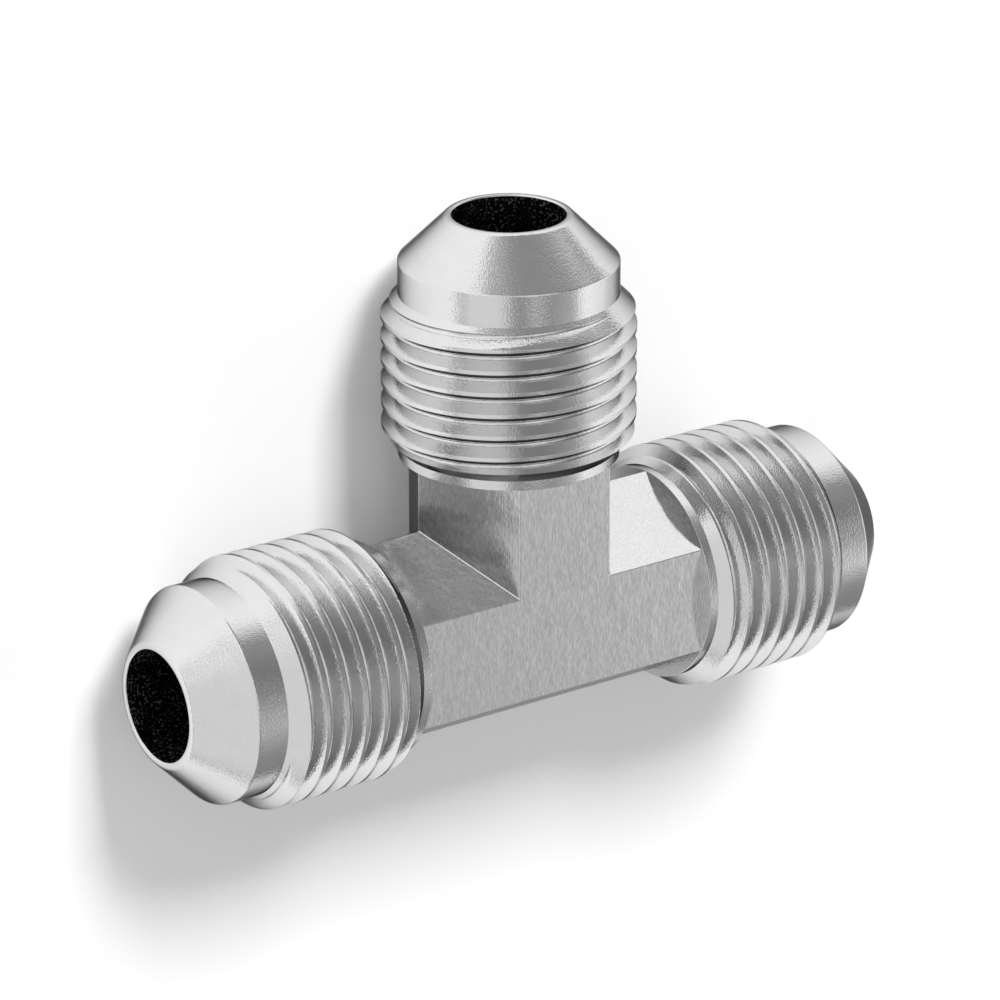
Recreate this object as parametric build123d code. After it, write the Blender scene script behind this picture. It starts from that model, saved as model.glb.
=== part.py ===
from build123d import *
import os
from math import radians, sqrt, tan

"""Union tee for 3/8 in tube: one piece of metal with three male 45 degree flare ends.

Lengths are in millimetres. The tee lies as it comes to rest: the run is along X, the branch points
along +Y, and one wide flat of the hexagonal body faces up (+Z). The origin is where the axes cross.
Each 5/8-18 UNF thread is drawn as a plain cylinder of its outside diameter between its chamfers.
"""

# Tee as a whole
CENTRE_TO_END = 26.3           # from the crossing of the axes to the tip of each nose
BORE_DIA = 7.05                # waterway, the same in run and branch

# Body: two hexagonal bars mitred into each other
HEX_ACROSS_FLATS = 11.90625    # 15/32 in
HEX_EDGE_BREAK = 0.08          # radius on the long edges of the bars
SHOULDER_FROM_CENTRE = 10.7    # where the hexagon ends and each turned port begins

# Port, from the shoulder outwards
SHOULDER_RING_DIA = 13.8
SHOULDER_RING_LENGTH = 0.62
THREAD_OD = 15.875             # 5/8 in
THREAD_CHAMFER_ANGLE = 45.0    # lead-in at the nose end and run-out at the shoulder
LAND_DIA = 13.76               # plain diameter between the thread and the cone
LAND_LENGTH = 2.05
LAND_EDGE_BREAK = 0.1          # between land and cone
FLARE_HALF_ANGLE = 45.0        # seat for the flared tube
FLARE_LENGTH = 2.96
NOSE_EDGE_RADIUS = 0.45        # between cone and nose
MOUTH_EDGE_BREAK = 0.12        # between nose and bore

# Axes of the two bars, seen from the crossing; each x direction points straight up
RUN = Plane(origin=(0, 0, 0), x_dir=(0, 0, 1), z_dir=(1, 0, 0))
BRANCH = Plane(origin=(0, 0, 0), x_dir=(0, 0, 1), z_dir=(0, 1, 0))

hex_corner_radius = HEX_ACROSS_FLATS / sqrt(3)
bore_radius = BORE_DIA / 2
ring_radius = SHOULDER_RING_DIA / 2
thread_radius = THREAD_OD / 2
land_radius = LAND_DIA / 2

# Heights along a port, from the crossing of the axes
chamfer_slope = tan(radians(THREAD_CHAMFER_ANGLE))
ring_top = SHOULDER_FROM_CENTRE + SHOULDER_RING_LENGTH
full_thread_start = ring_top + (thread_radius - ring_radius) / chamfer_slope
cone_base = CENTRE_TO_END - FLARE_LENGTH
land_start = cone_base - LAND_LENGTH
full_thread_end = land_start - (thread_radius - land_radius) / chamfer_slope
nose_radius = land_radius - FLARE_LENGTH * tan(radians(FLARE_HALF_ANGLE))


def turned_port():
    """A port on +Z, turned from its shoulder ring to the nose that the flared tube seats on."""
    outline = Polyline(
        (0, SHOULDER_FROM_CENTRE),
        (ring_radius, SHOULDER_FROM_CENTRE),
        (ring_radius, ring_top),
        (thread_radius, full_thread_start),
        (thread_radius, full_thread_end),
        (land_radius, land_start),
        (land_radius, cone_base),
        (nose_radius, CENTRE_TO_END),
        (0, CENTRE_TO_END),
        close=True,
    )
    section = make_face(outline)
    nose_corner = section.vertices().sort_by_distance((nose_radius, CENTRE_TO_END))[0]
    section = fillet(nose_corner, NOSE_EDGE_RADIUS)
    land_corner = section.vertices().sort_by_distance((land_radius, cone_base))[0]
    section = chamfer(land_corner, LAND_EDGE_BREAK)
    return revolve(Plane.XZ * section, Axis.Z)


def hexagonal_bar(plane, length):
    """A bar along a plane's normal, with its long edges just broken."""
    section = RegularPolygon(radius=hex_corner_radius, side_count=6, rotation=30)
    section = fillet(section.vertices(), HEX_EDGE_BREAK)
    return extrude(plane * section, amount=length)


def mitred_body():
    """The run bar from shoulder to shoulder, with the branch bar joined to its middle."""
    run_bar = hexagonal_bar(RUN.offset(-SHOULDER_FROM_CENTRE), 2 * SHOULDER_FROM_CENTRE)
    return run_bar + hexagonal_bar(BRANCH, SHOULDER_FROM_CENTRE)


def drill_waterway(tee):
    """Run and branch drilled from their noses to where they meet, each mouth's edge broken."""
    drills = extrude(RUN * Circle(bore_radius), amount=CENTRE_TO_END, both=True)
    drills += extrude(BRANCH * Circle(bore_radius), amount=CENTRE_TO_END)
    tee -= drills
    mouths = tee.edges().filter_by(GeomType.CIRCLE).filter_by(
        lambda edge: abs(edge.radius - bore_radius) < MOUTH_EDGE_BREAK / 2
    )
    return chamfer(mouths, MOUTH_EDGE_BREAK)


port = turned_port()
tee_body = mitred_body()
for axis_plane in (RUN, -RUN, BRANCH):
    tee_body += axis_plane.location * port
tee_body = drill_waterway(tee_body)
tee_body.label = "tee_body"

os.makedirs("parts", exist_ok=True)
export_step(tee_body, "parts/tee_body.step")
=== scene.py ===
import logging
import math
from dataclasses import dataclass
from enum import Enum

import bmesh
import bpy
import numpy as np
from mathutils import Matrix, Vector


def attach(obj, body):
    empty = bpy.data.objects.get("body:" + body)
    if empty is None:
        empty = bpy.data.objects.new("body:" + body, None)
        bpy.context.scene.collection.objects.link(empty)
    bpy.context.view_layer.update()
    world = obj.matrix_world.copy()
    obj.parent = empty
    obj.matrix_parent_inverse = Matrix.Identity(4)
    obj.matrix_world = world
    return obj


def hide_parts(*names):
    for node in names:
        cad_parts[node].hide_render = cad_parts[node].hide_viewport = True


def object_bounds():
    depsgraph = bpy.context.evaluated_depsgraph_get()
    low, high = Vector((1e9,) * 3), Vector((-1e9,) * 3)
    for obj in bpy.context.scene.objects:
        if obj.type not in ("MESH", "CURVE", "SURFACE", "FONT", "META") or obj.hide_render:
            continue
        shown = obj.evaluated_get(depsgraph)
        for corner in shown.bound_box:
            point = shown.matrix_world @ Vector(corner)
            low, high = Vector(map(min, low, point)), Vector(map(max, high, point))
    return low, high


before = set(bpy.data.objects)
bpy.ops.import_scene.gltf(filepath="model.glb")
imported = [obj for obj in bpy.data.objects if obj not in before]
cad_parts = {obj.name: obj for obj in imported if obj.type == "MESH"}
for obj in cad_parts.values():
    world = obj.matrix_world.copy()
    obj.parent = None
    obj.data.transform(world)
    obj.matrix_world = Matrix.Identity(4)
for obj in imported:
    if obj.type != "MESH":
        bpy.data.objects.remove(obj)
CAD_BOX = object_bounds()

MM = 0.001
NODE = "tee_body"
MERGE_DISTANCE = 1e-7
LOG = logging.getLogger("union_tee")

Point = tuple[float, float]


def fillet_corner(before: Point, corner: Point, after: Point, radius: float, steps: int) -> list[Point]:
    """Rounds one corner of an outline.

    Args:
        before: The point ahead of the corner.
        corner: The sharp corner.
        after: The point behind the corner.
        radius: Radius of the rounding, or 0 for a sharp corner.
        steps: Straight steps in the rounding.

    Returns:
        The points that stand for the corner.
    """
    if radius == 0:
        return [corner]
    here = Vector(corner)
    towards_before = (Vector(before) - here).normalized()
    towards_after = (Vector(after) - here).normalized()
    half_angle = towards_before.angle(towards_after) / 2
    reach = radius / math.tan(half_angle)
    centre = here + (towards_before + towards_after).normalized() * radius / math.sin(half_angle)
    start = here + towards_before * reach - centre
    end = here + towards_after * reach - centre
    sweep = start.angle_signed(end)
    points = []
    for step in range(steps + 1):
        spoke = start.copy()
        spoke.rotate(Matrix.Rotation(-sweep * step / steps, 2))
        points.append(tuple(centre + spoke))
    return points


def fillet_outline(
    corners: list[tuple[float, float, float]], closed: bool, steps: int = 4
) -> list[Point]:
    """Rounds the corners of an outline.

    Args:
        corners: Each corner's two coordinates and its rounding.
        closed: Whether the last corner joins the first.
        steps: Straight steps in each rounding.

    Returns:
        The outline's points in order.
    """
    points = []
    count = len(corners)
    for index, (along, across, radius) in enumerate(corners):
        at_end = not closed and index in (0, count - 1)
        before = corners[index - 1][:2]
        after = corners[(index + 1) % count][:2]
        points += fillet_corner(before, (along, across), after, 0 if at_end else radius, steps)
    return points


def new_object(name: str, mesh: bpy.types.Mesh) -> bpy.types.Object:
    """Puts a mesh into the scene as an object at the origin.

    Args:
        name: Name of the new object.
        mesh: Its mesh.

    Returns:
        The new object.
    """
    made = bpy.data.objects.new(name, mesh)
    bpy.context.scene.collection.objects.link(made)
    return made


def mesh_from(name: str, shape: bmesh.types.BMesh) -> bpy.types.Object:
    """Turns a closed shape into an object, with its faces pointing outwards.

    Args:
        name: Name of the new object.
        shape: The shape, which is freed.

    Returns:
        The new object.
    """
    bmesh.ops.remove_doubles(shape, verts=shape.verts, dist=MERGE_DISTANCE)
    bmesh.ops.recalc_face_normals(shape, faces=shape.faces)
    mesh = bpy.data.meshes.new(name)
    shape.to_mesh(mesh)
    shape.free()
    return new_object(name, mesh)


def lathe(name: str, outline: list[Point], steps: int) -> bpy.types.Object:
    """Turns an outline about the Z axis.

    Args:
        name: Name of the new object.
        outline: Points as (radius, height), which start and end on the axis.
        steps: Straight steps round the axis.

    Returns:
        A closed solid of revolution.
    """
    shape = bmesh.new()
    points = [shape.verts.new((radius, 0, height)) for radius, height in outline]
    edges = [shape.edges.new(pair) for pair in zip(points, points[1:])]
    bmesh.ops.spin(
        shape,
        geom=points + edges,
        axis=(0, 0, 1),
        cent=(0, 0, 0),
        angle=math.tau,
        steps=steps,
        use_merge=True,
    )
    return mesh_from(name, shape)


def prism(name: str, outline: list[Point], low: float, high: float) -> bpy.types.Object:
    """Stretches a closed outline along the Z axis.

    Args:
        name: Name of the new object.
        outline: Points of the outline in XY.
        low: Height of its lower end.
        high: Height of its upper end.

    Returns:
        A closed prism.
    """
    shape = bmesh.new()
    rings = [[shape.verts.new((x, y, height)) for x, y in outline] for height in (low, high)]
    for ring in rings:
        shape.faces.new(ring)
    for index in range(len(outline)):
        after = (index + 1) % len(outline)
        shape.faces.new((rings[0][index], rings[0][after], rings[1][after], rings[1][index]))
    return mesh_from(name, shape)


def wire_loop(name: str, outline: list[Point]) -> bpy.types.Object:
    """Makes a closed loop of edges from an outline in XY.

    Args:
        name: Name of the new object.
        outline: Points of the outline.

    Returns:
        The loop as an object.
    """
    mesh = bpy.data.meshes.new(name)
    count = len(outline)
    edges = [(index, (index + 1) % count) for index in range(count)]
    mesh.from_pydata([(x, y, 0) for x, y in outline], edges, [])
    return new_object(name, mesh)


def settled_mesh(piece: bpy.types.Object) -> bpy.types.Mesh:
    """Applies an object's modifiers to a new plain mesh and takes them off it.

    Args:
        piece: The object.

    Returns:
        The new mesh.
    """
    graph = bpy.context.evaluated_depsgraph_get()
    mesh = bpy.data.meshes.new_from_object(piece.evaluated_get(graph), depsgraph=graph)
    piece.modifiers.clear()
    return mesh


def combine(piece: bpy.types.Object, tools: list[bpy.types.Object], operation: str) -> None:
    """Joins or cuts a solid with others, which are then removed.

    Args:
        piece: The solid that is changed.
        tools: The solids that are joined to it or cut from it.
        operation: UNION or DIFFERENCE.
    """
    for tool in tools:
        modifier = piece.modifiers.new(operation, "BOOLEAN")
        modifier.operation = operation
        modifier.solver = "MANIFOLD"
        modifier.object = tool
    piece.data = settled_mesh(piece)
    for tool in tools:
        bpy.data.objects.remove(tool)


class Axis(Enum):
    """The way a port or a bar points, as a unit vector."""

    RIGHT = Vector((1, 0, 0))
    LEFT = Vector((-1, 0, 0))
    BRANCH = Vector((0, 1, 0))

    def place(self) -> Matrix:
        """Turns a solid on the Z axis this way, with its own X axis straight up.

        Returns:
            The turn as a matrix.
        """
        upward = Vector((0, 0, 1))
        side = self.value.cross(upward)
        return Matrix((upward, side, self.value)).transposed().to_4x4()


@dataclass(frozen=True)
class Signal:
    """A number that a node tree works out, held as the socket that gives it.

    Attributes:
        maker: The maker of the tree that the socket is in.
        socket: The socket.
    """

    maker: "NodeMaker"
    socket: bpy.types.NodeSocket

    def __add__(self, other: "Signal | float") -> "Signal":
        """Adds."""
        return self.maker.math("ADD", self, other)

    def __radd__(self, other: float) -> "Signal":
        """Adds to a plain number."""
        return self.maker.math("ADD", other, self)

    def __mul__(self, other: "Signal | float") -> "Signal":
        """Multiplies."""
        return self.maker.math("MULTIPLY", self, other)

    def __rmul__(self, other: float) -> "Signal":
        """Multiplies a plain number."""
        return self.maker.math("MULTIPLY", other, self)

    def __truediv__(self, other: "Signal | float") -> "Signal":
        """Divides."""
        return self.maker.math("DIVIDE", self, other)

    def __abs__(self) -> "Signal":
        """Drops the sign."""
        return self.maker.math("ABSOLUTE", self)

    def greater(self, other: "Signal | float") -> "Signal":
        """The greater of two numbers."""
        return self.maker.math("MAXIMUM", self, other)

    def rise(self, low: float, high: float) -> "Signal":
        """Goes smoothly from 0 at one value to 1 at another, which may be the lower one."""
        node = self.maker.add(
            "ShaderNodeMapRange",
            {"interpolation_type": "SMOOTHSTEP"},
            {"Value": self, "From Min": low, "From Max": high},
        )
        return self.maker.signal(node.outputs["Result"])


@dataclass(frozen=True)
class NodeMaker:
    """Adds nodes to a tree.

    Attributes:
        tree: The tree that is being built.
    """

    tree: bpy.types.NodeTree

    def add(
        self, kind: str, settings: dict | None = None, values: dict | None = None
    ) -> bpy.types.Node:
        """Adds one node.

        Args:
            kind: The node's type.
            settings: Properties of the node, which are set first.
            values: A value, a socket or a signal for each input, by its name or its place.

        Returns:
            The new node.
        """
        node = self.tree.nodes.new(kind)
        for name, setting in (settings or {}).items():
            setattr(node, name, setting)
        for name, value in (values or {}).items():
            self.feed(node.inputs[name], value)
        return node

    def feed(self, target: bpy.types.NodeSocket, value: object) -> None:
        """Links a signal or a socket to an input, or sets the input's own value.

        Args:
            target: The input.
            value: The signal, the socket or the plain value.
        """
        if isinstance(value, Signal):
            value = value.socket
        if isinstance(value, bpy.types.NodeSocket):
            self.tree.links.new(value, target)
        else:
            target.default_value = value

    def signal(self, socket: bpy.types.NodeSocket) -> Signal:
        """Wraps a socket."""
        return Signal(self, socket)

    def math(self, operation: str, *numbers: Signal | float) -> Signal:
        """Adds one Math node.

        Args:
            operation: What the node works out.
            numbers: Its inputs in order.

        Returns:
            The node's result.
        """
        node = self.add("ShaderNodeMath", {"operation": operation}, dict(enumerate(numbers)))
        return self.signal(node.outputs[0])

    def parts(self, vector: bpy.types.NodeSocket) -> tuple[Signal, Signal, Signal]:
        """Splits a vector into its three numbers."""
        node = self.add("ShaderNodeSeparateXYZ", values={"Vector": vector})
        return tuple(self.signal(socket) for socket in node.outputs)

    def vector(self, x: Signal | float, y: Signal | float, z: Signal | float) -> bpy.types.NodeSocket:
        """Joins three numbers into a vector."""
        return self.add("ShaderNodeCombineXYZ", values={"X": x, "Y": y, "Z": z}).outputs["Vector"]

    def along(self, vector: bpy.types.NodeSocket, direction: Vector) -> Signal:
        """Length of a vector along a fixed direction."""
        node = self.add("ShaderNodeVectorMath", {"operation": "DOT_PRODUCT"}, {0: vector, 1: direction})
        return self.signal(node.outputs["Value"])

    def noise(self, place: bpy.types.NodeSocket, detail: float = 1.0) -> Signal:
        """Cloudy noise about 0.5, with lumps about one unit apart."""
        values = {"Vector": place, "Scale": 1.0, "Detail": detail}
        return self.signal(self.add("ShaderNodeTexNoise", values=values).outputs["Fac"])

    def lumps(
        self, place: tuple[Signal, ...], counts: tuple[float, float, float], detail: float = 1.0
    ) -> Signal:
        """Cloudy noise with its own number of lumps in a unit along each axis.

        Args:
            place: The three coordinates.
            counts: Lumps in a unit along each of them.
            detail: Finer noise that is added.

        Returns:
            The noise.
        """
        scaled = [along * count for along, count in zip(place, counts)]
        return self.noise(self.vector(*scaled), detail)

    def blend(self, factor: Signal, first: tuple, second: tuple) -> bpy.types.NodeSocket:
        """Mixes two colours."""
        node = self.add("ShaderNodeMix", {"data_type": "RGBA"}, {0: factor, 6: first, 7: second})
        return node.outputs[2]


@dataclass(frozen=True)
class Thread:
    """A right-handed 5/8-18 UNF thread, as the one groove that leaves it.

    Attributes:
        pitch: Rise of the groove in one turn.
        outer_radius: Radius of the crests.
        root_rounding: Radius of the groove's bottom.
        crest_flat: Width of the flat left between two turns.
        half_angle: Angle of each flank from a plane square to the axis.
        lead: How far ahead of the run-out the groove starts, as a share of the pitch.
        arc_steps: Straight steps across the groove's bottom.
        turn_steps: Straight steps in one turn of the helix.
        clearance: How far the cutter stands out of the blank.
    """

    pitch: float = 25.4 / 18 * MM
    outer_radius: float = 7.9375 * MM
    root_rounding: float = 0.2 * MM
    crest_flat: float = 0.25 * MM
    half_angle: float = math.radians(30)
    lead: float = 1 / 3
    arc_steps: int = 6
    turn_steps: int = 288
    clearance: float = 0.08 * MM

    def sharp_radius(self) -> float:
        """Radius at which the groove's two flanks would meet."""
        half_mouth = (self.pitch - self.crest_flat) / 2
        return self.outer_radius - half_mouth / math.tan(self.half_angle)

    def groove_outline(self) -> list[Point]:
        """Outline of the cutter, as (distance outside the sharp radius, distance along the axis).

        Returns:
            Points in order, whose sweep has its faces pointing outwards.
        """
        height = self.outer_radius + self.clearance - self.sharp_radius()
        half_width = height * math.tan(self.half_angle)
        corners = [(height, -half_width, 0), (height, half_width, 0), (0, 0, self.root_rounding)]
        return fillet_outline(corners, closed=True, steps=self.arc_steps)

    def cutting_tree(self) -> bpy.types.NodeTree:
        """Builds the nodes that sweep the groove's outline up a helix and cut it from a blank.

        Returns:
            A tree with named inputs for the groove's sizes.
        """
        tree = bpy.data.node_groups.new("cut_thread", "GeometryNodeTree")
        face = tree.interface
        face.new_socket("Blank", in_out="INPUT", socket_type="NodeSocketGeometry")
        face.new_socket("Groove Outline", in_out="INPUT", socket_type="NodeSocketObject")
        face.new_socket("Finish", in_out="INPUT", socket_type="NodeSocketMaterial")
        for name in ("Sweep Radius", "Pitch", "Turns", "Start Height"):
            face.new_socket(name, in_out="INPUT", socket_type="NodeSocketFloat")
        face.new_socket("Turn Steps", in_out="INPUT", socket_type="NodeSocketInt")
        face.new_socket("Port", in_out="OUTPUT", socket_type="NodeSocketGeometry")
        maker = NodeMaker(tree)
        given = maker.add("NodeGroupInput").outputs
        helix = maker.add(
            "GeometryNodeCurveSpiral",
            values={
                "Resolution": given["Turn Steps"],
                "Rotations": given["Turns"],
                "Start Radius": given["Sweep Radius"],
                "End Radius": given["Sweep Radius"],
                "Height": maker.signal(given["Pitch"]) * maker.signal(given["Turns"]),
                "Reverse": True,
            },
        )
        lift = maker.add("ShaderNodeCombineXYZ", values={"Z": given["Start Height"]})
        raised = maker.add(
            "GeometryNodeTransform",
            values={"Geometry": helix.outputs["Curve"], "Translation": lift.outputs["Vector"]},
        )
        path = maker.add(
            "GeometryNodeSetCurveNormal", {"mode": "Z_UP"}, {"Curve": raised.outputs["Geometry"]}
        )
        outline = maker.add("GeometryNodeObjectInfo", values={"Object": given["Groove Outline"]})
        section = maker.add("GeometryNodeMeshToCurve", values={"Mesh": outline.outputs["Geometry"]})
        cutter = maker.add(
            "GeometryNodeCurveToMesh",
            values={
                "Curve": path.outputs["Curve"],
                "Profile Curve": section.outputs["Curve"],
                "Fill Caps": True,
            },
        )
        cut = maker.add(
            "GeometryNodeMeshBoolean",
            {"operation": "DIFFERENCE", "solver": "MANIFOLD"},
            {"Mesh 1": given["Blank"], "Mesh 2": cutter.outputs["Mesh"]},
        )
        real = maker.add("GeometryNodeRealizeInstances", values={"Geometry": cut.outputs["Mesh"]})
        dressed = maker.add(
            "GeometryNodeSetMaterial",
            values={"Geometry": real.outputs["Geometry"], "Material": given["Finish"]},
        )
        maker.add("NodeGroupOutput", values={"Port": dressed.outputs["Geometry"]})
        return tree


@dataclass(frozen=True)
class Port:
    """One male flare end, turned from its shoulder to its nose and then threaded.

    Attributes:
        name: Name of the end.
        axis: The way the end points.
        crest_height: Height of a crest's middle where it passes the upper side, less whole turns.
        thread: The thread cut on it.
        shoulder: Distance of the shoulder from the crossing of the axes.
        ring_radius: Radius of the plain ring at the shoulder.
        ring_top: Height at which the run-out chamfer begins.
        land_radius: Radius of the plain land before the seat.
        land_start: Height at which the lead-in chamfer ends.
        cone_base: Height at which the seat begins.
        nose_height: Height of the nose.
        nose_rounding: Rounding between seat and nose.
        land_rounding: Rounding between land and seat.
        edge_rounding: Rounding of every other turned corner.
        stub_radius: Radius of the part inside the body.
        stub_start: Height of that part's end.
        round_steps: Straight steps round the axis.
    """

    name: str
    axis: Axis
    crest_height: float
    thread: Thread = Thread()
    shoulder: float = 10.7 * MM
    ring_radius: float = 6.9 * MM
    ring_top: float = 11.32 * MM
    land_radius: float = 6.88 * MM
    land_start: float = 21.29 * MM
    cone_base: float = 23.34 * MM
    nose_height: float = 26.3 * MM
    nose_rounding: float = 0.45 * MM
    land_rounding: float = 0.18 * MM
    edge_rounding: float = 0.04 * MM
    stub_radius: float = 5.0 * MM
    stub_start: float = 8.0 * MM
    round_steps: int = 288

    def blank_outline(self) -> list[Point]:
        """Half outline of the turned blank, whose chamfers and seat are all at 45 degrees.

        Returns:
            Points as (radius, height), from the axis to the axis.
        """
        crest = self.thread.outer_radius
        nose_radius = self.land_radius - (self.nose_height - self.cone_base)
        corners = [
            (0, self.stub_start, 0),
            (self.stub_radius, self.stub_start, 0),
            (self.stub_radius, self.shoulder, 0),
            (self.ring_radius, self.shoulder, self.edge_rounding),
            (self.ring_radius, self.ring_top, 0),
            (crest, self.ring_top + crest - self.ring_radius, self.edge_rounding),
            (crest, self.land_start - crest + self.land_radius, self.edge_rounding),
            (self.land_radius, self.land_start, 0),
            (self.land_radius, self.cone_base, self.land_rounding),
            (nose_radius, self.nose_height, self.nose_rounding),
            (0, self.nose_height, 0),
        ]
        return fillet_outline(corners, closed=False)

    def first_groove_height(self) -> float:
        """Finds a height for the groove's start, low enough to leave no mark on the blank.

        Returns:
            The height, whole turns below the groove's place on the thread.
        """
        pitch = self.thread.pitch
        groove_height = (self.crest_height + pitch / 2) % pitch
        highest = self.ring_top - pitch * self.thread.lead
        return groove_height + math.floor((highest - groove_height) / pitch) * pitch

    def build(self, tree: bpy.types.NodeTree, finish: bpy.types.Material) -> bpy.types.Object:
        """Turns the blank, cuts its thread and puts it in place.

        Args:
            tree: The nodes that cut the thread.
            finish: The metal's material.

        Returns:
            The port as a closed solid.
        """
        port = lathe(self.name, self.blank_outline(), self.round_steps)
        outline = wire_loop(f"{self.name}_groove", self.thread.groove_outline())
        start = self.first_groove_height()
        turns = math.ceil((self.land_start - start) / self.thread.pitch) + 1
        sizes = {
            "Groove Outline": outline,
            "Finish": finish,
            "Sweep Radius": self.thread.sharp_radius(),
            "Pitch": self.thread.pitch,
            "Turns": float(turns),
            "Start Height": start,
            "Turn Steps": self.thread.turn_steps,
        }
        modifier = port.modifiers.new("cut_thread", "NODES")
        modifier.node_group = tree
        for item in tree.interface.items_tree:
            if item.name in sizes:
                modifier[item.identifier] = sizes[item.name]
        port.data = settled_mesh(port)
        bpy.data.objects.remove(outline)
        port.data.transform(self.axis.place())
        return port


@dataclass(frozen=True)
class HexagonalBody:
    """Two hexagonal bars mitred into each other.

    Attributes:
        half_flats: Half the distance across the flats.
        corner_rounding: Rounding of the long corners.
        mitre_width: Width on each side of the small fillets where the bars meet.
        mitre_angle: Angle between faces past which a hollow edge gets its fillet.
        mitre_steps: Straight steps across each of those fillets.
        reach: How far each bar runs into its ports' shoulder rings.
    """

    half_flats: float = 15 / 64 * 25.4 * MM
    corner_rounding: float = 0.08 * MM
    mitre_width: float = 0.09 * MM
    mitre_angle: float = math.radians(30)
    mitre_steps: int = 4
    reach: float = 11.0 * MM

    def section(self) -> list[Point]:
        """Draws the rounded hexagon, with two of its flats square to X.

        Returns:
            Its points in order.
        """
        corner_radius = self.half_flats / math.cos(math.pi / 6)
        corners = []
        for index in range(6):
            angle = math.pi / 6 + index * math.pi / 3
            across, along = corner_radius * math.cos(angle), corner_radius * math.sin(angle)
            corners.append((across, along, self.corner_rounding))
        return fillet_outline(corners, closed=True)

    def build(self) -> bpy.types.Object:
        """Makes the run bar with the branch bar joined to its middle.

        Returns:
            The body as a closed solid.
        """
        run_bar = prism("run_bar", self.section(), -self.reach, self.reach)
        run_bar.data.transform(Axis.RIGHT.place())
        branch_bar = prism("branch_bar", self.section(), 0, self.reach)
        branch_bar.data.transform(Axis.BRANCH.place())
        combine(run_bar, [branch_bar], "UNION")
        self.fill_mitres(run_bar.data)
        return run_bar

    def fill_mitres(self, mesh: bpy.types.Mesh) -> None:
        """Rounds the hollow edges where the bars meet.

        Args:
            mesh: The two joined bars.
        """
        shape = bmesh.new()
        shape.from_mesh(mesh)
        bmesh.ops.remove_doubles(shape, verts=shape.verts, dist=MERGE_DISTANCE)
        hollow = [edge for edge in shape.edges if edge.calc_face_angle_signed() < -self.mitre_angle]
        bmesh.ops.bevel(
            shape,
            geom=hollow,
            offset=self.mitre_width,
            offset_type="OFFSET",
            segments=self.mitre_steps,
            profile=0.5,
            affect="EDGES",
        )
        shape.to_mesh(mesh)
        shape.free()


@dataclass(frozen=True)
class Waterway:
    """The crossing bores of run and branch.

    Attributes:
        radius: Radius of each bore.
        nose_height: Distance of each mouth from the crossing.
        mouth_rounding: Rounding of each mouth.
        clearance: How far a drill stands out of a mouth.
        mouth_steps: Straight steps across each mouth's rounding.
        round_steps: Straight steps round each bore.
    """

    radius: float = 3.525 * MM
    nose_height: float = 26.3 * MM
    mouth_rounding: float = 0.12 * MM
    clearance: float = 0.5 * MM
    mouth_steps: int = 6
    round_steps: int = 128

    def mouth(self, side: int) -> list[Point]:
        """Outline of a drill at one mouth, where it leaves the rounded edge standing.

        Args:
            side: 1 for the upper mouth and -1 for the lower one.

        Returns:
            Points as (radius, height), from the bore to the axis.
        """
        points = []
        for step in range(self.mouth_steps + 1):
            turn = math.pi / 2 * step / self.mouth_steps
            radius = self.radius + self.mouth_rounding * (1 - math.cos(turn))
            height = self.nose_height - self.mouth_rounding * (1 - math.sin(turn))
            points.append((radius, side * height))
        top = side * (self.nose_height + self.clearance)
        return points + [(self.radius + self.mouth_rounding, top), (0, top)]

    def drills(self) -> list[bpy.types.Object]:
        """Makes the drills of run and branch.

        Returns:
            Both as closed solids, in place.
        """
        run = lathe("run_drill", self.mouth(-1)[::-1] + self.mouth(1), self.round_steps)
        run.data.transform(Axis.RIGHT.place())
        branch = lathe("branch_drill", [(0, 0), (self.radius, 0)] + self.mouth(1), self.round_steps)
        branch.data.transform(Axis.BRANCH.place())
        return [run, branch]


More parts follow.
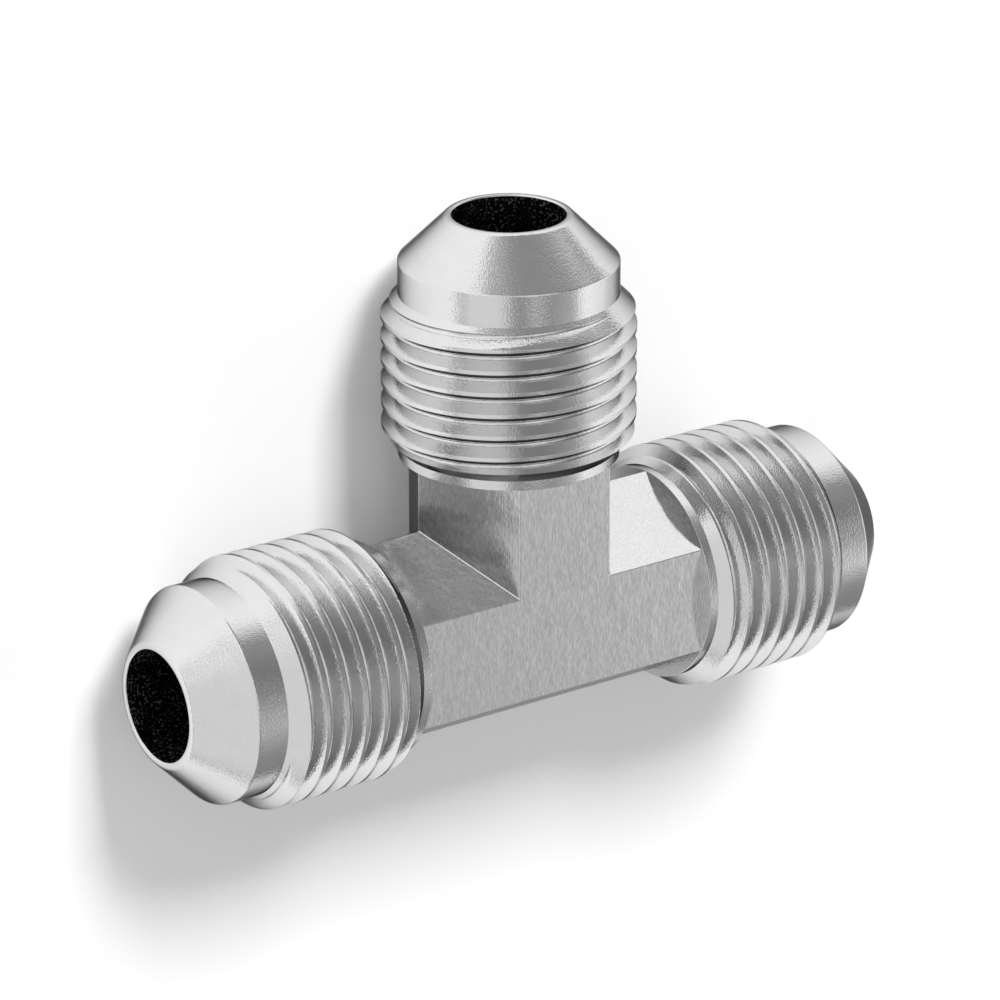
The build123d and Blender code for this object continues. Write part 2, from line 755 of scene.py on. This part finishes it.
@dataclass(frozen=True)
class TurnedShading:
    """Gives a machined mesh the normals of its true round and flat surfaces.

    Attributes:
        shoulder: Distance from the crossing at which the body ends and the turned ports begin.
        bore_radius: Radius of the waterway.
        wall_share: Reach of the waterway's wall, as a share of its radius.
        sharp_angle: Angle between faces past which their edge stays sharp.
    """

    shoulder: float = 10.69 * MM
    bore_radius: float = 3.525 * MM
    wall_share: float = 1.0002
    sharp_angle: float = math.radians(35)

    def axes_of_faces(self, centres: np.ndarray) -> np.ndarray:
        """Finds the axis that each face was turned about.

        Args:
            centres: The middle of each face.

        Returns:
            A unit vector for each face, or zeros for a face of a flat.
        """
        x, y, z = centres.T
        along_x = (np.abs(x) > self.shoulder) | (np.hypot(y, z) < self.bore_radius)
        along_y = (y > self.shoulder) | (~along_x & (np.hypot(x, z) < self.bore_radius))
        axes = np.zeros_like(centres)
        axes[along_x, 0] = 1
        axes[along_y & ~along_x, 1] = 1
        return axes

    def apply(self, mesh: bpy.types.Mesh) -> None:
        """Sets the mesh's normals.

        Each face's normal is carried round its axis to each of its corners. At a corner, faces that
        meet at less than the sharp angle share the mean of theirs by area, so a wide surface keeps
        its own direction and a narrow rounding takes up the turn.

        Args:
            mesh: The whole tee's mesh.
        """
        corner_count, face_count = len(mesh.loops), len(mesh.polygons)
        vertex_of = np.empty(corner_count, np.int64)
        mesh.loops.foreach_get("vertex_index", vertex_of)
        places = np.empty(len(mesh.vertices) * 3)
        mesh.vertices.foreach_get("co", places)
        places = places.reshape(-1, 3)[vertex_of]
        totals = np.empty(face_count, np.int64)
        mesh.polygons.foreach_get("loop_total", totals)
        face_of = np.repeat(np.arange(face_count), totals)
        faces = {}
        for name, width in (("normal", 3), ("center", 3), ("area", 1)):
            faces[name] = np.empty(face_count * width)
            mesh.polygons.foreach_get(name, faces[name])
        normals, centres = faces["normal"].reshape(-1, 3), faces["center"].reshape(-1, 3)
        axes = self.axes_of_faces(centres)
        carried = self.carry(normals[face_of], centres[face_of], places, axes[face_of])
        shared = self.share(vertex_of, carried, faces["area"][face_of])
        mesh.shade_smooth()
        mesh.normals_split_custom_set(shared.tolist())

    def carry(
        self, normals: np.ndarray, starts: np.ndarray, ends: np.ndarray, axes: np.ndarray
    ) -> np.ndarray:
        """Turns each normal about its axis, from one place's side of the axis to another's.

        Args:
            normals: Normals at the first places.
            starts: The first places.
            ends: The second places.
            axes: Axis of each, or zeros where the normal stays.

        Returns:
            The normals at the second places.
        """
        parts = []
        for places in (starts, ends):
            outward = places - axes * np.sum(places * axes, axis=1, keepdims=True)
            outward /= np.linalg.norm(outward, axis=1, keepdims=True)
            parts.append((outward, np.cross(axes, outward)))
        (out_start, round_start), (out_end, round_end) = parts
        radial = np.sum(normals * out_start, axis=1, keepdims=True)
        tangential = np.sum(normals * round_start, axis=1, keepdims=True)
        along = np.sum(normals * axes, axis=1, keepdims=True)
        turned = radial * out_end + tangential * round_end + along * axes
        flat = ~axes.any(axis=1)
        turned[flat] = normals[flat]
        return turned

    def share(self, vertex_of: np.ndarray, normals: np.ndarray, weights: np.ndarray) -> np.ndarray:
        """Averages the normals of each vertex's corners that differ by less than the sharp angle.

        Args:
            vertex_of: Vertex of each corner.
            normals: Normal at each corner.
            weights: Area of each corner's face.

        Returns:
            The shared normal at each corner.
        """
        order = np.argsort(vertex_of, kind="stable")
        vertices, normals, weights = vertex_of[order], normals[order], weights[order]
        count = len(order)
        limit = math.cos(self.sharp_angle)
        total = normals * weights[:, None]
        most = int(np.bincount(vertices).max())
        for step in range(1, most):
            here, there = np.arange(count - step), np.arange(step, count)
            close = vertices[here] == vertices[there]
            close &= np.sum(normals[here] * normals[there], axis=1) > limit
            here, there = here[close], there[close]
            total[here] += normals[there] * weights[there, None]
            total[there] += normals[here] * weights[here, None]
        total /= np.linalg.norm(total, axis=1, keepdims=True)
        shared = np.empty_like(total)
        shared[order] = total
        return shared


def grey(tone: float) -> tuple[float, float, float, float]:
    """A neutral colour of the given brightness."""
    return (tone, tone, tone, 1.0)


def heading(azimuth: float, elevation: float) -> Vector:
    """Unit vector of a direction, with its azimuth from +Y towards +X and both in degrees."""
    turn, rise = math.radians(azimuth), math.radians(elevation)
    return Vector((math.sin(turn) * math.cos(rise), math.cos(turn) * math.cos(rise), math.sin(rise)))


@dataclass(frozen=True)
class Surface:
    """What varies over a finish.

    Attributes:
        tone: From 0 where the metal is darkest to 1 where it is brightest.
        roughness: Roughness for the shader.
        height: Relief from 0 to 1.
    """

    tone: Signal
    roughness: Signal
    height: Signal


@dataclass(frozen=True)
class MetalFinish:
    """Bare metal whose tone, roughness and relief vary over its surface.

    Attributes:
        name: Name of the material.
        dark: Brightness of the darkest metal.
        bright: Brightness of the brightest metal.
        painted_rim_shade: Share of the brightness that is left where the metal is seen edge-on.
        relief: Height of the relief in metres.
        roughness: Least roughness.
        grain: Lumps of the finest grain in a millimetre.
        clouds: Clouds in a millimetre along each axis.
    """

    name: str = "metal"
    dark: float = 0.74
    bright: float = 0.79
    painted_rim_shade: float = 0.1
    relief: float = 1e-5
    roughness: float = 0.05
    grain: float = 7.0
    clouds: tuple[float, float, float] = (0.9, 0.9, 0.9)

    def surface(self, maker: NodeMaker, place: tuple[Signal, ...]) -> Surface:
        """Works out what varies.

        Args:
            maker: The maker of the material's nodes.
            place: The three coordinates on the surface, in millimetres.

        Returns:
            What varies, as signals.
        """
        raise NotImplementedError

    def build(self) -> bpy.types.Material:
        """Makes the material.

        Returns:
            The material, with all that varies worked out by nodes.
        """
        material = bpy.data.materials.new(self.name)
        material.use_nodes = True
        maker = NodeMaker(material.node_tree)
        inside = maker.add("ShaderNodeTexCoord").outputs["Object"]
        place = maker.add("ShaderNodeVectorMath", {"operation": "SCALE"}, {0: inside, "Scale": 1 / MM})
        surface = self.surface(maker, maker.parts(place.outputs["Vector"]))
        bump = maker.add(
            "ShaderNodeBump",
            values={"Strength": 1.0, "Distance": self.relief, "Height": surface.height},
        )
        shader = material.node_tree.nodes["Principled BSDF"]
        shader.inputs["Metallic"].default_value = 1.0
        # A low Specular Tint darkens metal seen edge-on: painted shade along the silhouettes.
        shader.inputs["Specular Tint"].default_value = grey(self.painted_rim_shade)
        colour = maker.blend(surface.tone, grey(self.dark), grey(self.bright))
        maker.feed(shader.inputs["Base Color"], colour)
        maker.feed(shader.inputs["Roughness"], surface.roughness)
        maker.feed(shader.inputs["Normal"], bump.outputs["Normal"])
        return material


@dataclass(frozen=True)
class SatinFlats(MetalFinish):
    """The hexagonal body's flats, with a fine satin grain along the branch.

    Attributes:
        stretch: How many times longer than wide the grain is.
        ripples: Ripples in a millimetre along each axis.
    """

    name: str = "satin_flats"
    dark: float = 0.7
    bright: float = 0.82
    relief: float = 7e-6
    grain: float = 9.0
    stretch: float = 3.6
    roughness: float = 0.08
    ripples: tuple[float, float, float] = (2.4, 1.8, 2.4)
    clouds: tuple[float, float, float] = (0.8, 0.6, 0.8)

    def surface(self, maker: NodeMaker, place: tuple[Signal, ...]) -> Surface:
        """Works out the grain, the ripples and the clouds.

        Args:
            maker: The maker of the material's nodes.
            place: The three coordinates on the surface, in millimetres.

        Returns:
            What varies, as signals.
        """
        fine = maker.lumps(place, (self.grain, self.grain / self.stretch, self.grain))
        ripple = maker.lumps(place, self.ripples)
        cloud = maker.lumps(place, self.clouds)
        tone = (fine * 0.85 + cloud * 0.15).rise(0.3, 0.7)
        roughness = self.roughness + fine * 0.06 + cloud * 0.05
        return Surface(tone, roughness, fine * 0.6 + ripple * 1.2 + cloud * 1.2)


@dataclass(frozen=True)
class TurnedPorts(MetalFinish):
    """Lathe-turned metal, with fine rings about the port's axis and a slight grain.

    Attributes:
        along_branch: Whether the port's axis is the branch's.
        rings: Rings in a millimetre.
        face_rings: Rings on a face square to the axis, as a share of those along the axis.
        ring_breaks: Breaks in each ring, as lumps in a radius.
        least_radius: Radius in millimetres within which the rings stop narrowing.
    """

    name: str = "turned_run"
    grain: float = 9.0
    along_branch: bool = False
    rings: float = 14.0
    face_rings: float = 0.4
    ring_breaks: float = 1.5
    least_radius: float = 0.1

    def surface(self, maker: NodeMaker, place: tuple[Signal, ...]) -> Surface:
        """Works out the rings, the grain and the clouds.

        Args:
            maker: The maker of the material's nodes.
            place: The three coordinates on the surface, in millimetres.

        Returns:
            What varies, as signals.
        """
        x, y, z = place
        if self.along_branch:
            x, y = y, x
        radius = maker.math("SQRT", y * y + z * z).greater(self.least_radius)
        climb = abs(x) + radius * self.face_rings
        counts = (self.rings, self.ring_breaks, self.ring_breaks)
        ring = maker.lumps((climb, y / radius, z / radius), counts)
        fine = maker.lumps((x, y, z), (self.grain,) * 3)
        cloud = maker.lumps((x, y, z), self.clouds)
        tone = (ring * 0.15 + fine * 0.45 + cloud * 0.4).rise(0.25, 0.75)
        roughness = self.roughness + fine * 0.04 + cloud * 0.05
        return Surface(tone, roughness, ring * 0.03 + fine * 1.4 + cloud * 1.0)


@dataclass(frozen=True)
class BoreWallPaintedShade(MetalFinish):
    """The waterway's wall, dull, with its colour painted nearly black as the shade deep inside the
    bore, and with bright specks.
    """

    name: str = "bore_wall_painted_shade"
    # Base colours near black: painted shade of the deep bore, not the metal's own colour.
    dark: float = 0.01
    bright: float = 0.3
    relief: float = 4e-6
    roughness: float = 0.45
    clouds: tuple[float, float, float] = (0.6, 0.6, 0.6)

    def surface(self, maker: NodeMaker, place: tuple[Signal, ...]) -> Surface:
        """Works out the specks and the drill's marks.

        Args:
            maker: The maker of the material's nodes.
            place: The three coordinates on the surface, in millimetres.

        Returns:
            What varies, as signals.
        """
        fine = maker.lumps(place, (self.grain,) * 3, detail=0.0)
        cloud = maker.lumps(place, self.clouds)
        specks = fine.rise(0.58, 0.72) * cloud.rise(0.25, 0.55)
        return Surface(specks, self.roughness + cloud * 0.2, fine)


@dataclass(frozen=True)
class Softbox:
    """A soft bright panel of the studio, which stands in the world's light.

    Attributes:
        name: Its place in the studio.
        azimuth: Direction of its middle, in degrees from +Y towards +X.
        elevation: Height of its middle, in degrees.
        half_width: Half its width, as a share of its distance.
        half_height: Half its height, as a share of its distance.
        edge: Width of its soft edge, as a share of its distance.
        radiance: Brightness that it adds.
        fade: Shares of the distance ahead between which its plane comes into view.
    """

    name: str
    azimuth: float
    elevation: float
    half_width: float
    half_height: float
    edge: float
    radiance: float
    fade: tuple[float, float] = (0.05, 0.15)

    def glow(self, maker: NodeMaker, direction: bpy.types.NodeSocket) -> Signal:
        """Works out the brightness that the panel adds in a direction.

        Args:
            maker: The maker of the world's nodes.
            direction: The direction.

        Returns:
            The added brightness.
        """
        middle = heading(self.azimuth, self.elevation)
        sideways = middle.cross(Vector((0, 0, 1))).normalized()
        depth = maker.along(direction, middle)
        reach = depth.greater(self.fade[0])
        across = abs(maker.along(direction, sideways)) / reach
        up = abs(maker.along(direction, sideways.cross(middle))) / reach
        glow = across.rise(self.half_width + self.edge, self.half_width - self.edge)
        glow = glow * up.rise(self.half_height + self.edge, self.half_height - self.edge)
        return glow * depth.rise(*self.fade) * self.radiance


@dataclass(frozen=True)
class Studio:
    """The room's light: an even level, with soft panels about the tee.

    Attributes:
        level: Brightness of the room.
        panels: The soft panels.
    """

    level: float = 0.31
    panels: tuple[Softbox, ...] = (
        Softbox("left_wall", -98, 28, 2.0, 0.46, 0.2, 0.48),
        Softbox("left_low", -37, 6, 0.31, 0.56, 0.3, 0.4),
        Softbox("back_low", 35, -4, 0.3, 0.31, 0.2, 0.65),
        Softbox("right_strip", 95.5, 23, 0.44, 0.46, 0.2, 0.76),
        Softbox("front_window", 124, 49, 0.3, 0.3, 0.2, 0.14),
        Softbox("ceiling", -36, 75, 0.4, 0.52, 0.2, 0.48),
        Softbox("back_shade", 43, 58, 0.3, 0.38, 0.2, -0.08),
    )

    def build(self) -> None:
        """Gives the scene its world."""
        world = bpy.data.worlds.new("studio")
        world.use_nodes = True
        bpy.context.scene.world = world
        maker = NodeMaker(world.node_tree)
        direction = maker.add("ShaderNodeTexCoord").outputs["Generated"]
        glows = [panel.glow(maker, direction) for panel in self.panels]
        light = (sum(glows[1:], glows[0]) + self.level).greater(0.0)
        background = world.node_tree.nodes["Background"]
        background.inputs["Color"].default_value = grey(1.0)
        maker.feed(background.inputs["Strength"], light)


@dataclass(frozen=True)
class KeyLamp:
    """The large lamp that lights the floor and casts the tee's soft shadow.

    Attributes:
        azimuth: Direction of the lamp, in degrees from +Y towards +X.
        elevation: Height of the lamp, in degrees.
        distance: Distance from the tee.
        width: Width of the square lamp.
        brightness: Brightness of a white floor in its light alone, which sets its power.
    """

    azimuth: float = 0.0
    elevation: float = 42.0
    distance: float = 8.0
    width: float = 2.2
    brightness: float = 0.55

    def build(self) -> bpy.types.Object:
        """Adds the lamp.

        Returns:
            The lamp, turned to the tee.
        """
        towards = heading(self.azimuth, self.elevation)
        data = bpy.data.lights.new("key_lamp", "AREA")
        data.size = self.width
        data.energy = self.brightness * math.pi**2 * self.distance**2 / towards.z
        lamp = bpy.data.objects.new("key_lamp", data)
        lamp.matrix_world = towards.to_track_quat("Z", "Y").to_matrix().to_4x4()
        lamp.location = towards * self.distance
        lamp.visible_glossy = False
        bpy.context.scene.collection.objects.link(lamp)
        return lamp


@dataclass(frozen=True)
class Floor:
    """The plain white floor that the tee lies on.

    Attributes:
        height: Height of its surface.
        width: Width of the square floor.
        tone: Brightness of its paint.
        mottle: How much brighter the paint is in its brightest places.
        lift: Share of plain white shown to the camera and in reflections.
    """

    height: float
    width: float = 6.0
    tone: float = 0.95
    mottle: float = 0.01
    lift: float = 0.03

    def paint(self) -> bpy.types.Material:
        """Makes the floor's matt paint, with a faint mottle.

        Returns:
            The paint as a material.
        """
        material = bpy.data.materials.new("floor_paint")
        material.use_nodes = True
        tree = material.node_tree
        tree.nodes.clear()
        maker = NodeMaker(tree)
        mottle = maker.noise(maker.add("ShaderNodeTexCoord").outputs["Object"])
        colour = maker.blend(mottle, grey(self.tone), grey(self.tone + self.mottle))
        diffuse = maker.add("ShaderNodeBsdfDiffuse", values={"Color": colour})
        white = maker.add("ShaderNodeEmission", values={"Color": grey(1.0), "Strength": 1.0})
        seen = maker.add("ShaderNodeLightPath").outputs
        rays = [maker.signal(seen[f"Is {kind} Ray"]) for kind in ("Camera", "Glossy", "Transmission")]
        share = (rays[0] + rays[1] + rays[2]) * self.lift
        mix = maker.add(
            "ShaderNodeMixShader",
            values={0: share, 1: diffuse.outputs["BSDF"], 2: white.outputs["Emission"]},
        )
        maker.add("ShaderNodeOutputMaterial", values={"Surface": mix.outputs["Shader"]})
        return material

    def build(self) -> bpy.types.Object:
        """Lays the floor.

        Returns:
            The floor as a single face.
        """
        shape = bmesh.new()
        half = self.width / 2
        corners = [(-half, -half), (half, -half), (half, half), (-half, half)]
        shape.faces.new([shape.verts.new((x, y, self.height)) for x, y in corners])
        mesh = bpy.data.meshes.new("floor")
        shape.to_mesh(mesh)
        shape.free()
        mesh.materials.append(self.paint())
        return new_object("floor", mesh)


@dataclass(frozen=True)
class PhotoCamera:
    """The camera that took the photo, in the frame of a tee that stands on its lower thread.

    Attributes:
        azimuth: Turn of its line of sight from straight ahead.
        elevation: Fall of its line of sight.
        distance: Distance of the camera from the point aimed at.
        aim: The point aimed at, in the frame of the lying tee.
        lens: Focal length in millimetres.
        sensor: Width of the sensor in millimetres.
        near: Distance of the nearest thing seen.
        far: Distance of the farthest thing seen.
    """

    azimuth: float = math.radians(35.72)
    elevation: float = math.radians(21.63)
    distance: float = 402.3 * MM
    aim: tuple[float, float, float] = (1.034 * MM, 6.373 * MM, -2.368 * MM)
    lens: float = 230.5
    sensor: float = 36.0
    near: float = 10 * MM
    far: float = 20.0

    def build(self) -> bpy.types.Object:
        """Adds the camera and makes it the scene's own.

        Returns:
            The camera.
        """
        sight = Vector((
            math.sin(self.azimuth) * math.cos(self.elevation),
            math.cos(self.azimuth) * math.cos(self.elevation),
            -math.sin(self.elevation),
        ))
        level = sight.cross(Vector((0, 0, 1))).normalized()
        upright = Matrix((level, level.cross(sight), -sight)).transposed()
        lying = Matrix.Rotation(-math.pi / 2, 3, "X")
        turn = lying @ upright
        data = bpy.data.cameras.new("photo_camera")
        data.sensor_width = self.sensor
        data.lens = self.lens
        data.clip_start = self.near
        data.clip_end = self.far
        camera = bpy.data.objects.new("photo_camera", data)
        camera.matrix_world = turn.to_4x4()
        camera.location = Vector(self.aim) + turn @ Vector((0, 0, self.distance))
        bpy.context.scene.collection.objects.link(camera)
        bpy.context.scene.camera = camera
        return camera


class Zone(Enum):
    """The finishes of the tee, as the places of their materials on it."""

    FLATS = 0
    RUN_PORTS = 1
    BRANCH_PORT = 2
    BORE = 3


@dataclass(frozen=True)
class UnionTee:
    """The whole fitting: one piece of metal with three threaded ends.

    Attributes:
        body: The two mitred hexagonal bars.
        ports: The three ends.
        waterway: The bores.
        shading: What gives the mesh its true normals.
    """

    body: HexagonalBody
    ports: tuple[Port, ...]
    waterway: Waterway
    shading: TurnedShading

    def finishes(self) -> list[bpy.types.Material]:
        """Makes the materials, in the order of their zones."""
        made = (
            SatinFlats(),
            TurnedPorts(),
            TurnedPorts(name="turned_branch", along_branch=True),
            BoreWallPaintedShade(),
        )
        return [finish.build() for finish in made]

    def paint(self, mesh: bpy.types.Mesh) -> None:
        """Gives each face the finish of its zone.

        Args:
            mesh: The whole tee's mesh.
        """
        centres = np.empty(len(mesh.polygons) * 3)
        mesh.polygons.foreach_get("center", centres)
        x, y, z = centres.reshape(-1, 3).T
        edge = self.shading.shoulder
        zones = np.full(len(x), Zone.FLATS.value)
        zones[np.abs(x) > edge] = Zone.RUN_PORTS.value
        zones[y > edge] = Zone.BRANCH_PORT.value
        wall = self.shading.bore_radius * self.shading.wall_share
        inside = np.hypot(y, z) < wall
        inside |= (np.hypot(x, z) < wall) & (y > 0)
        # Faces inside the bore get the finish whose colour is painted near black as the bore's shade.
        zones[inside] = Zone.BORE.value
        mesh.materials.clear()
        for material in self.finishes():
            mesh.materials.append(material)
        mesh.polygons.foreach_set("material_index", zones.astype(np.int32))

    def build(self) -> bpy.types.Object:
        """Makes the tee and dresses it.

        Returns:
            The finished piece.
        """
        tree = Thread().cutting_tree()
        blank_metal = bpy.data.materials.new("blank_metal")
        piece = self.body.build()
        combine(piece, [port.build(tree, blank_metal) for port in self.ports], "UNION")
        combine(piece, self.waterway.drills(), "DIFFERENCE")
        piece.name = piece.data.name = "finished_tee"
        self.paint(piece.data)
        self.shading.apply(piece.data)
        triangles = sum(len(face.vertices) - 2 for face in piece.data.polygons)
        LOG.info("%s: %d triangles", piece.name, triangles)
        return piece


def main() -> None:
    """Builds the finished tee, the floor, the lights and the camera."""
    logging.basicConfig(level=logging.INFO, format="%(message)s")
    tee = UnionTee(
        body=HexagonalBody(),
        ports=(
            Port("right_port", Axis.RIGHT, crest_height=0.384 * MM),
            Port("left_port", Axis.LEFT, crest_height=0.717 * MM),
            Port("branch_port", Axis.BRANCH, crest_height=0.56 * MM),
        ),
        waterway=Waterway(),
        shading=TurnedShading(),
    ).build()
    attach(tee, "root")
    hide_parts(NODE)
    Floor(height=CAD_BOX[0][2]).build()
    Studio().build()
    KeyLamp().build()
    PhotoCamera().build()
    bpy.context.scene.view_settings.view_transform = "Standard"


if __name__ == "__main__":
    main()
